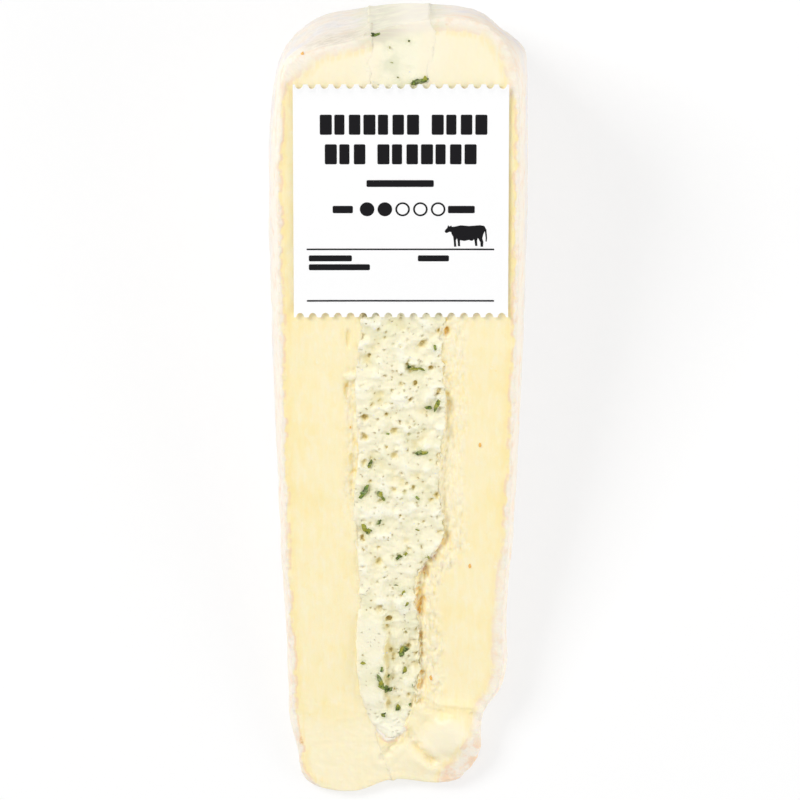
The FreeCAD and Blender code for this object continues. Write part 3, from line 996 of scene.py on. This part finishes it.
class BRIE_OT_herbs(bpy.types.Operator):
    """Strew chives, torn leaves and specks on the cream"""

    bl_idname = "brie.herbs"
    bl_label = "Herbs"

    # kind, x, along, length, width, turn in degrees
    placed = (
        ("leaf", 7.1, 73.0, 2.6, 0.9, 66),
        ("leaf", 5.6, 72.3, 1.5, 0.8, 20),
        ("chive", -6.4, 56.8, 2.3, 0.7, 68),
        ("leaf", -3.3, 56.0, 1.7, 1.0, 120),
        ("leaf", -3.4, 51.2, 1.4, 0.8, 50),
        ("leaf", -6.2, 49.9, 1.6, 0.9, 100),
        ("leaf", -5.7, 49.2, 1.5, 0.8, 75),
        ("leaf", 0.0, 44.8, 1.3, 0.9, 15),
        ("leaf", 1.4, 45.1, 1.2, 0.8, 40),
        ("leaf", 4.2, 64.1, 2.2, 0.8, 5),
        ("chive", 2.1, 79.6, 0.9, 0.7, 90),
        ("leaf", 3.8, 79.4, 3.0, 0.5, 2),
        ("leaf", 0.7, 26.2, 2.1, 1.5, 50),
        ("leaf", -3.4, 21.4, 2.2, 0.8, 112),
        ("leaf", -2.7, 20.0, 2.0, 0.8, 135),
        ("leaf", -1.9, 19.4, 1.4, 0.8, 10),
        ("leaf", 1.2, 23.0, 1.7, 0.6, 70),
        ("leaf", -0.3, 15.7, 1.3, 0.8, 60),
        ("leaf", -5.4, 61.5, 2.2, 0.7, 50),
        ("leaf", 3.0, 131.5, 1.8, 1.0, 10),
        ("leaf", 4.6, 131.9, 1.7, 1.0, 35),
        ("leaf", -4.1, 140.0, 1.7, 0.6, 5),
        ("leaf", -1.5, 137.8, 0.5, 0.8, 90),
        ("leaf", 1.8, 138.9, 0.5, 0.9, 80),
        ("leaf", -1.2, 135.0, 0.5, 0.4, 0),
        ("leaf", -0.1, 132.4, 0.5, 0.5, 0),
    )

    # x and along of the amber spots on the paste
    spots = ((4.1, 35.1), (6.1, 21.7), (15.1, 65.4), (13.3, 42.8), (-8.9, 68.5), (3.9, 33.9), (-17.4, 136.3))

    def execute(self, context):
        look = context.scene.cream_look
        cream = bpy.data.objects["herb_cream_look"]
        self.luck = random.Random(look.seed)
        masters = {"chive": [self.chive(n) for n in range(2)], "leaf": [self.leaf(n) for n in range(4)]}
        for kind, tint, wet in (("chive", look.chive, 0.3), ("leaf", look.leaf, 0.4)):
            material = herb_material(kind, tint, look, wet)
            for master in masters[kind]:
                master.data.materials.append(material)
        pieces = []
        for kind, *rest in self.placed:
            pieces += self.clump(masters[kind], cream, *rest)
        scattered = (("chive", look.chives, 0.7, 0.4), ("leaf", look.leaves, 0.85, 0.5))
        for kind, count, length, width in scattered:
            for x, along in self.places(cream, count):
                grow = self.luck.uniform(0.6, 1.4)
                turn = self.luck.uniform(0, 180)
                pieces.append(self.planted(masters[kind], cream, x, along, length * grow, width * grow, turn))
        for kind in masters:
            for master in masters[kind]:
                bpy.data.objects.remove(master)
        herbs = joined(pieces, "herbs")
        smooth(herbs)
        shaped(cream, lambda graph, shape: self.stain(graph, shape, herbs))
        specks = self.speck("herb_specks", 0.13)
        shaped(specks, lambda graph, shape: self.strewn(graph, shape, cream, look.specks, look.seed))
        specks.data.materials.append(herb_material("specks", look.speck, look, 0.5, 0.45))
        amber = self.amber_spots()
        amber.data.materials.append(spot_material(context.scene.brie_look))
        for piece in (herbs, specks, amber):
            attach(piece, "root")
        return {"FINISHED"}

    def chive(self, variant):
        """A short cut of chive lying along x: a tube, a little flattened, with its hollow ends sunk."""
        deselect()
        bpy.ops.mesh.primitive_cylinder_add(vertices=14, radius=0.5, depth=1.0, rotation=(0, math.pi / 2, 0))
        tube = new_piece("chive")
        settle(tube)
        select_faces(tube, lambda centre, normal: abs(normal.x) > 0.9)
        bpy.ops.mesh.inset(thickness=0.16, use_individual=True)
        bpy.ops.mesh.inset(thickness=0.03, depth=-0.25, use_individual=True)
        bpy.ops.mesh.select_all(action="SELECT")
        bpy.ops.mesh.subdivide(number_cuts=1)
        edited()
        shaped(tube, lambda graph, shape: self.crumpled(graph, shape, 0.3, variant))
        return tube

    def leaf(self, variant):
        """A torn flake of leaf, curled."""
        deselect()
        bpy.ops.mesh.primitive_circle_add(vertices=16, radius=0.5, fill_type="TRIFAN")
        flake = new_piece("leaf")
        edit(flake)
        bpy.ops.mesh.subdivide(number_cuts=2)
        edited()
        shaped(flake, lambda graph, shape: self.crumpled(graph, shape, 0.5, variant))
        apply(flake, "SOLIDIFY", thickness=0.1, offset=0.0)
        return flake

    def crumpled(self, graph, shape, amount, variant):
        """Pushes the points of a piece one unit long about at random, each variant its own way."""
        place = graph.vector("ADD", graph.add("GeometryNodeInputPosition"), (variant * 7.0, 3.0, 1.0))
        shove = graph.vector("SUBTRACT", graph.noise(place, 0.5, 2.0, 0.6, "Color"), (0.5, 0.5, 0.5))
        return moved(graph, shape, shove, amount)

    def places(self, cream, count):
        """That many random places on the open top of the cream."""
        found = []
        while len(found) < count:
            x = self.luck.uniform(-7.5, 8.0)
            along = self.luck.uniform(13.0, 88.0)
            hit, place, normal = cream.ray_cast(on_face(x, along, DROP), -UP)[:3]
            if hit and above(place / MM) > -1.5 and normal.dot(UP) > 0.4:
                found.append((x, along))
        return found

    def clump(self, masters, cream, x, along, length, width, turn):
        """A bruised herb: a few overlapping bits about the same line."""
        bits = []
        angle = math.radians(turn)
        for _ in range(4 if length > 1.2 else 2):
            slide = self.luck.uniform(-0.32, 0.32) * length
            aside = self.luck.uniform(-0.25, 0.25) * width
            bits.append(self.planted(
                masters, cream,
                x + math.cos(angle) * slide - math.sin(angle) * aside,
                along + math.sin(angle) * slide + math.cos(angle) * aside,
                length * self.luck.uniform(0.5, 0.9),
                width * self.luck.uniform(0.6, 1.1),
                turn + self.luck.uniform(-28, 28),
            ))
        return bits

    def planted(self, masters, cream, x, along, length, width, turn):
        """A copy of one of the herbs, half sunk in the cream."""
        place = self.landed(cream, x, along)
        tilt = Matrix.Rotation(math.radians(self.luck.uniform(-14, 14)), 4, "Y")
        spin = Matrix.Rotation(math.radians(self.luck.uniform(0, 360) if length < 1 else 0), 4, "X")
        grow = Matrix.Diagonal((length * MM, width * MM, width * 0.8 * MM, 1.0))
        swing = Matrix.Rotation(math.radians(turn), 4, "Z")
        stand = Matrix.Translation(place + UP * 0.12 * width * MM) @ face_turn()
        return copied(self.luck.choice(masters), stand @ swing @ tilt @ spin @ grow)

    def landed(self, ground, x, along):
        """Where something dropped straight at the cut face lands on this piece."""
        hit, place = ground.ray_cast(on_face(x, along, DROP), -UP)[:2]
        if not hit:
            raise RuntimeError(f"nothing to land on at {x}, {along}")
        return place

    def stain(self, graph, shape, herbs):
        """Keeps how near each point of the cream is to a herb."""
        near = distance_to(graph, herbs)
        return stored(graph, shape, "juice", near.rise(1.3, 0.1))

    def amber_spots(self):
        """Small dried spots on the paste."""
        grain = self.speck("amber_spot", 0.3)
        spots = []
        for x, along in self.spots:
            half = bpy.data.objects["brie_half_left_look" if x < 0 else "brie_half_right_look"]
            place = Matrix.Translation(self.landed(half, x, along))
            grow = self.luck.uniform(0.5, 1.0)
            spots.append(copied(grain, place @ Matrix.Diagonal((grow, grow * 1.6, grow, 1.0))))
        bpy.data.objects.remove(grain)
        return joined(spots, "amber_spots")

    def speck(self, name, radius):
        """A rough crumb of that radius, millimetres."""
        deselect()
        bpy.ops.mesh.primitive_ico_sphere_add(subdivisions=2, radius=radius * MM)
        grain = new_piece(name)
        shaped(grain, lambda graph, shape: self.dented(graph, shape, radius))
        return grain

    def dented(self, graph, shape, radius):
        """Makes a ball lumpy and flat."""
        place = graph.add("GeometryNodeInputPosition")
        bumps = graph.noise(place, radius * MM, 1.0) * 1.5 + 0.3
        x, y, z = graph.split(graph.scaled(place, bumps))
        return put(graph, shape, graph.joined(x, y, z * 0.6))

    def strewn(self, graph, shape, ground, density, seed):
        """Copies the grain over the open cut face of the cream, so many to the square centimetre."""
        spot = Spot(graph)
        shown = spot.height.rise(-2.0, -1.6) * spot.facing.rise(0.5, 0.6) * (1 - spot.under_label())
        shown = shown * spot.along.rise(137.0, 135.0)
        surface = graph.add("GeometryNodeObjectInfo", {}, {"Object": ground}, "Geometry")
        sockets = {"Mesh": surface, "Density": shown * density * PER_SQUARE_CM, "Seed": seed}
        points = graph.add("GeometryNodeDistributePointsOnFaces", {}, sockets, "Points")
        smallest, largest, tilt = 0.35, 1.3, 0.6
        sockets = {2: smallest, 3: largest, "Seed": seed}
        sizes = graph.add("FunctionNodeRandomValue", {"data_type": "FLOAT"}, sockets, 1)
        sockets = {0: (0, 0, 0), 1: (tilt, tilt, 6.28), "Seed": seed}
        turns = graph.add("FunctionNodeRandomValue", {"data_type": "FLOAT_VECTOR"}, sockets)
        sockets = {"Points": points, "Instance": shape, "Rotation": turns, "Scale": sizes}
        copies = graph.add("GeometryNodeInstanceOnPoints", {}, sockets)
        return graph.add("GeometryNodeRealizeInstances", {}, {0: copies})


class BRIE_OT_label(bpy.types.Operator):
    """Make the paper label with its scalloped ends"""

    bl_idname = "brie.label"
    bl_label = "Paper label"

    cuts = (12, 60)  # grid faces to each bite, and along the sheet
    bite_share = 0.62  # how much of each pitch is bitten away
    reach = 2.5  # how far in from its ends the sheet is stretched by the bites

    def execute(self, context):
        look = context.scene.label_look
        width = LABEL_HIGH.x - LABEL_LOW.x
        length = (LABEL_HIGH.y - LABEL_LOW.y) / ALONG.y + look.overhang
        across, down = self.cuts
        bpy.ops.mesh.primitive_grid_add(
            x_subdivisions=look.scallops * across, y_subdivisions=down, size=1.0
        )
        paper = new_piece("label_sheet")
        paper.scale = (width * MM, length * MM, 1.0)
        paper.location.y = -look.overhang / 2 * MM
        settle(paper)
        shaped(paper, lambda graph, shape: self.cut(graph, shape, look, width, length))
        lay_on_face(paper, PAPER_LIFT)
        apply(paper, "SOLIDIFY", thickness=look.thickness * MM, offset=1.0)
        pick(paper)
        bpy.ops.object.shade_smooth_by_angle(angle=math.radians(40))
        paper.data.materials.append(paper_material(look))
        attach(paper, "root")
        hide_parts("label")
        return {"FINISHED"}

    def cut(self, graph, shape, look, width, length):
        """Bites the ends of a flat sheet and lifts its free edges."""
        x, y = graph.split(graph.scaled(graph.add("GeometryNodeInputPosition"), 1 / MM))[:2]
        pitch = width / look.scallops
        turn = graph.math("FRACT", (x + width / 2) / pitch) * 2 - 1
        arch = (1 - (turn / self.bite_share) ** 2).most(0.0) ** 0.5
        y = y + look.overhang / 2
        end = abs(y).rise(length / 2 - self.reach, length / 2)
        sign = graph.math("SIGN", y)
        bite = graph.joined(0.0, sign * end * arch * -look.bite, 0.0)
        return moved(graph, shape, graph.vector("ADD", bite, graph.joined(0.0, 0.0, curl(graph, x, y, look))))


def curl(graph, x, y, look):
    """How far the paper lifts at a place measured from the label's middle."""
    half_width = (LABEL_HIGH.x - LABEL_LOW.x) / 2
    half_length = (LABEL_HIGH.y - LABEL_LOW.y) / ALONG.y / 2
    sides = (abs(x) / half_width) ** 10.0
    ends = (abs(y) / half_length) ** 14.0
    waves = graph.noise(graph.joined(x, y, 0.0), 12.0, 1.0)
    return (sides * 0.6 + ends) * look.curl * waves * 1.6


def face_turn():
    """The turn that lays something flat onto the upper cut face."""
    return Matrix((Vector((1, 0, 0)), ALONG, UP)).transposed().to_4x4()


def lay_on_face(piece, lift):
    """Moves a piece drawn flat about the label's middle to its place on the cut face, and settles it."""
    middle = (LABEL_LOW + LABEL_HIGH) / 2
    piece.matrix_world = Matrix.Translation(on_face(middle.x, middle.y - TIP, lift)) @ face_turn()
    settle(piece)


class BRIE_OT_print(bpy.types.Operator):
    """Print plain marks on the label: blocks for words, a scale of five dots, two rules and a cow"""

    bl_idname = "brie.print"
    bl_label = "Label print"

    block_pitch = 2.65
    block_widths = (2.2, 1.85, 2.1)  # in turn
    block_height = 3.8
    corner = 0.25  # how far a block's corners are rounded
    dot_radius = 1.33
    dot_ring = 0.33  # width of an empty dot's ring
    dot_pitch = 3.25
    first_dot = (-6.2, -2.05)
    cow_corner = Vector((8.0, -9.2, 0.0))
    ink_lift = 0.015  # the print's gap above the paper
    ink_depth = 0.01

    # left, bottom, how many blocks; from the label's middle
    words = ((-14.8, 12.1, 7), (5.6, 12.1, 4), (-13.9, 6.5, 3), (-4.3, 6.5, 7))
    # left, bottom, width, height
    lines = (
        (-6.3, 2.2, 12.3, 1.3),
        (-12.5, -2.8, 3.7, 1.4),
        (8.6, -2.8, 4.9, 1.4),
        (-16.9, -12.0, 7.9, 1.15),
        (-16.9, -13.7, 11.2, 1.15),
        (3.1, -12.0, 5.7, 1.15),
        (-17.3, -9.85, 34.4, 0.3),
        (-17.3, -19.7, 34.4, 0.3),
    )
    # outline of a standing cow facing left, from its lower left corner
    cow_outline = (
        (0.0, 2.8), (0.05, 3.1), (0.5, 3.65), (0.62, 4.15), (0.85, 3.85), (1.25, 4.05), (1.3, 3.8),
        (1.9, 3.85), (2.9, 4.1), (4.5, 3.95), (6.5, 4.12), (7.25, 3.98), (7.65, 3.3), (7.78, 1.7),
        (7.7, 1.0), (7.5, 1.0), (7.52, 1.7), (7.35, 3.0), (7.1, 2.4), (6.9, 1.6), (7.1, 0.9),
        (7.05, 0.0), (6.6, 0.0), (6.55, 0.85), (6.2, 1.5), (6.1, 1.7), (5.95, 1.2), (6.0, 0.15),
        (5.6, 0.15), (5.5, 1.0), (5.4, 1.4), (5.1, 1.15), (4.75, 1.15), (4.5, 1.3), (3.6, 1.1),
        (2.85, 1.25), (2.8, 1.1), (2.85, 0.1), (2.45, 0.1), (2.4, 1.0), (2.25, 1.6), (2.05, 1.2),
        (2.15, 0.0), (1.75, 0.0), (1.65, 1.2), (1.55, 1.95), (1.3, 2.35), (1.2, 2.8), (0.85, 2.85),
        (0.35, 2.6),
    )

    def execute(self, context):
        look = context.scene.label_look
        marks = [self.bar(*line) for line in self.lines]
        for left, bottom, count in self.words:
            for i in range(count):
                width = self.block_widths[i % len(self.block_widths)]
                marks.append(self.bar(left + i * self.block_pitch, bottom, width, self.block_height))
        marks += self.dots()
        outline = [(self.cow_corner + Vector((x, y, 0.0))) * MM for x, y in reversed(self.cow_outline)]
        marks.append(drawn("cow", outline, True))
        ink = joined(marks, "label_print")
        shaped(ink, lambda graph, shape: self.follow(graph, shape, look))
        lay_on_face(ink, PAPER_LIFT + look.thickness + self.ink_lift)
        apply(ink, "SOLIDIFY", thickness=self.ink_depth * MM, offset=1.0)
        ink.data.materials.append(ink_material(look))
        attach(ink, "root")
        return {"FINISHED"}

    def bar(self, left, bottom, width, height):
        """One block of ink with slightly rounded corners."""
        deselect()
        bpy.ops.mesh.primitive_plane_add(size=1.0)
        mark = new_piece("mark")
        mark.scale = (width * MM, height * MM, 1.0)
        mark.location = ((left + width / 2) * MM, (bottom + height / 2) * MM, 0.0)
        settle(mark)
        edit(mark)
        bpy.ops.mesh.bevel(offset=min(self.corner, height / 3) * MM, segments=3, affect="VERTICES")
        edited()
        return mark

    def dots(self):
        """Five dots in a row, the first two filled and the others rings."""
        marks = []
        left, bottom = self.first_dot
        for i in range(5):
            deselect()
            bpy.ops.mesh.primitive_circle_add(vertices=48, radius=self.dot_radius * MM, fill_type="NGON")
            mark = new_piece("dot")
            mark.location = ((left + i * self.dot_pitch) * MM, bottom * MM, 0.0)
            settle(mark)
            if i > 1:
                edit(mark, "FACE")
                bpy.ops.mesh.inset(thickness=self.dot_ring * MM)
                bpy.ops.mesh.delete(type="FACE")
                edited()
            marks.append(mark)
        return marks

    def follow(self, graph, shape, look):
        """Bends the marks with the paper."""
        shape = graph.add("GeometryNodeSubdivideMesh", {}, {0: shape, "Level": 3})
        x, y = graph.split(graph.scaled(graph.add("GeometryNodeInputPosition"), 1 / MM))[:2]
        return moved(graph, shape, graph.joined(0.0, 0.0, curl(graph, x, y, look)))


def seen(graph):
    """1 for what the camera sees, straight or by way of something glossy or clear, and 0 for other light."""
    ray = graph.add("ShaderNodeLightPath", {}, {}, "Is Camera Ray")
    return ray.most(ray.out("Is Glossy Ray")).most(ray.out("Is Transmission Ray"))


class BRIE_OT_stage(bpy.types.Operator):
    """Set up the floor, the light and the camera"""

    bl_idname = "brie.stage"
    bl_label = "Stage"

    floor_width = 4.0  # metres
    own_light = 0.6  # how much of the floor in view is plain white, the rest being its colour in the light
    soft_lamp = ((-0.66, 0.42, 0.85), 0.45)  # place and width, metres
    fill_lamp = ((0.75, -0.25, 0.3), 0.7)
    camera_over = (0.0003, -0.0002)  # the point that the camera stands over, metres

    def execute(self, context):
        look = context.scene.stage_look
        bpy.ops.mesh.primitive_plane_add(size=self.floor_width)
        floor = new_piece("floor")
        material, graph = new_material("floor")
        plain = graph.add("ShaderNodeBsdfDiffuse", {}, {"Color": rgba(look.floor)})
        glow = graph.add("ShaderNodeEmission", {}, {"Color": (1, 1, 1, 1), "Strength": 1.0})
        mixed = graph.add("ShaderNodeMixShader", {}, {0: seen(graph) * self.own_light, 1: plain, 2: glow})
        graph.add("ShaderNodeOutputMaterial", {}, {0: mixed})
        floor.data.materials.append(material)

        world = bpy.data.worlds.new("sky")
        world.use_nodes = True
        world.node_tree.nodes.clear()
        graph = Graph(world.node_tree)
        strength = look.sky + seen(graph) * (1.0 - look.sky)
        sky = graph.add("ShaderNodeBackground", {}, {"Color": (1, 1, 1, 1), "Strength": strength})
        graph.add("ShaderNodeOutputWorld", {}, {0: sky})
        context.scene.world = world

        self.lamp("soft_lamp", *self.soft_lamp, look.lamp)
        self.lamp("fill_lamp", *self.fill_lamp, look.fill)

        bpy.ops.object.camera_add(location=(*self.camera_over, look.height), rotation=(0, 0, 0))
        camera = bpy.context.active_object
        camera.data.sensor_width = 36.0
        camera.data.lens = 36.0 * look.height / look.view
        context.scene.camera = camera
        context.scene.view_settings.view_transform = "Standard"
        return {"FINISHED"}

    def lamp(self, name, place, width, power):
        """A square lamp of that width that looks at the middle of the floor."""
        bpy.ops.object.light_add(type="AREA", location=place)
        lamp = bpy.context.active_object
        lamp.name = name
        lamp.data.energy = power
        lamp.data.size = width
        lamp.rotation_euler = (-Vector(place)).to_track_quat("-Z", "Y").to_euler()


class BRIE_PT_panel(bpy.types.Panel):
    """Everything the wedge is made of"""

    bl_label = "Stuffed brie"
    bl_idname = "BRIE_PT_panel"
    bl_space_type = "VIEW_3D"
    bl_region_type = "UI"
    bl_category = "Brie"

    def draw(self, context):
        for name in OPERATORS:
            self.layout.operator(name)
        for group in GROUPS:
            settings = getattr(context.scene, group)
            box = self.layout.box()
            for field in settings.bl_rna.properties:
                if field.identifier not in ("rna_type", "name"):
                    box.prop(settings, field.identifier)


OPERATORS = ("brie.halves", "brie.cream", "brie.herbs", "brie.label", "brie.print", "brie.stage")
GROUPS = {
    "brie_look": BrieSettings,
    "cream_look": CreamSettings,
    "label_look": LabelSettings,
    "stage_look": StageSettings,
}
CLASSES = (
    *GROUPS.values(),
    BRIE_OT_halves,
    BRIE_OT_cream,
    BRIE_OT_herbs,
    BRIE_OT_label,
    BRIE_OT_print,
    BRIE_OT_stage,
    BRIE_PT_panel,
)


def register():
    for cls in CLASSES:
        bpy.utils.register_class(cls)
    for name, cls in GROUPS.items():
        setattr(bpy.types.Scene, name, PointerProperty(type=cls))


def unregister():
    for name in GROUPS:
        delattr(bpy.types.Scene, name)
    for cls in reversed(CLASSES):
        bpy.utils.unregister_class(cls)


def main():
    """Makes every piece in order."""
    register()
    for name in OPERATORS:
        group, operator = name.split(".")
        getattr(getattr(bpy.ops, group), operator)()
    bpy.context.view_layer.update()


if __name__ == "__main__":
    main()
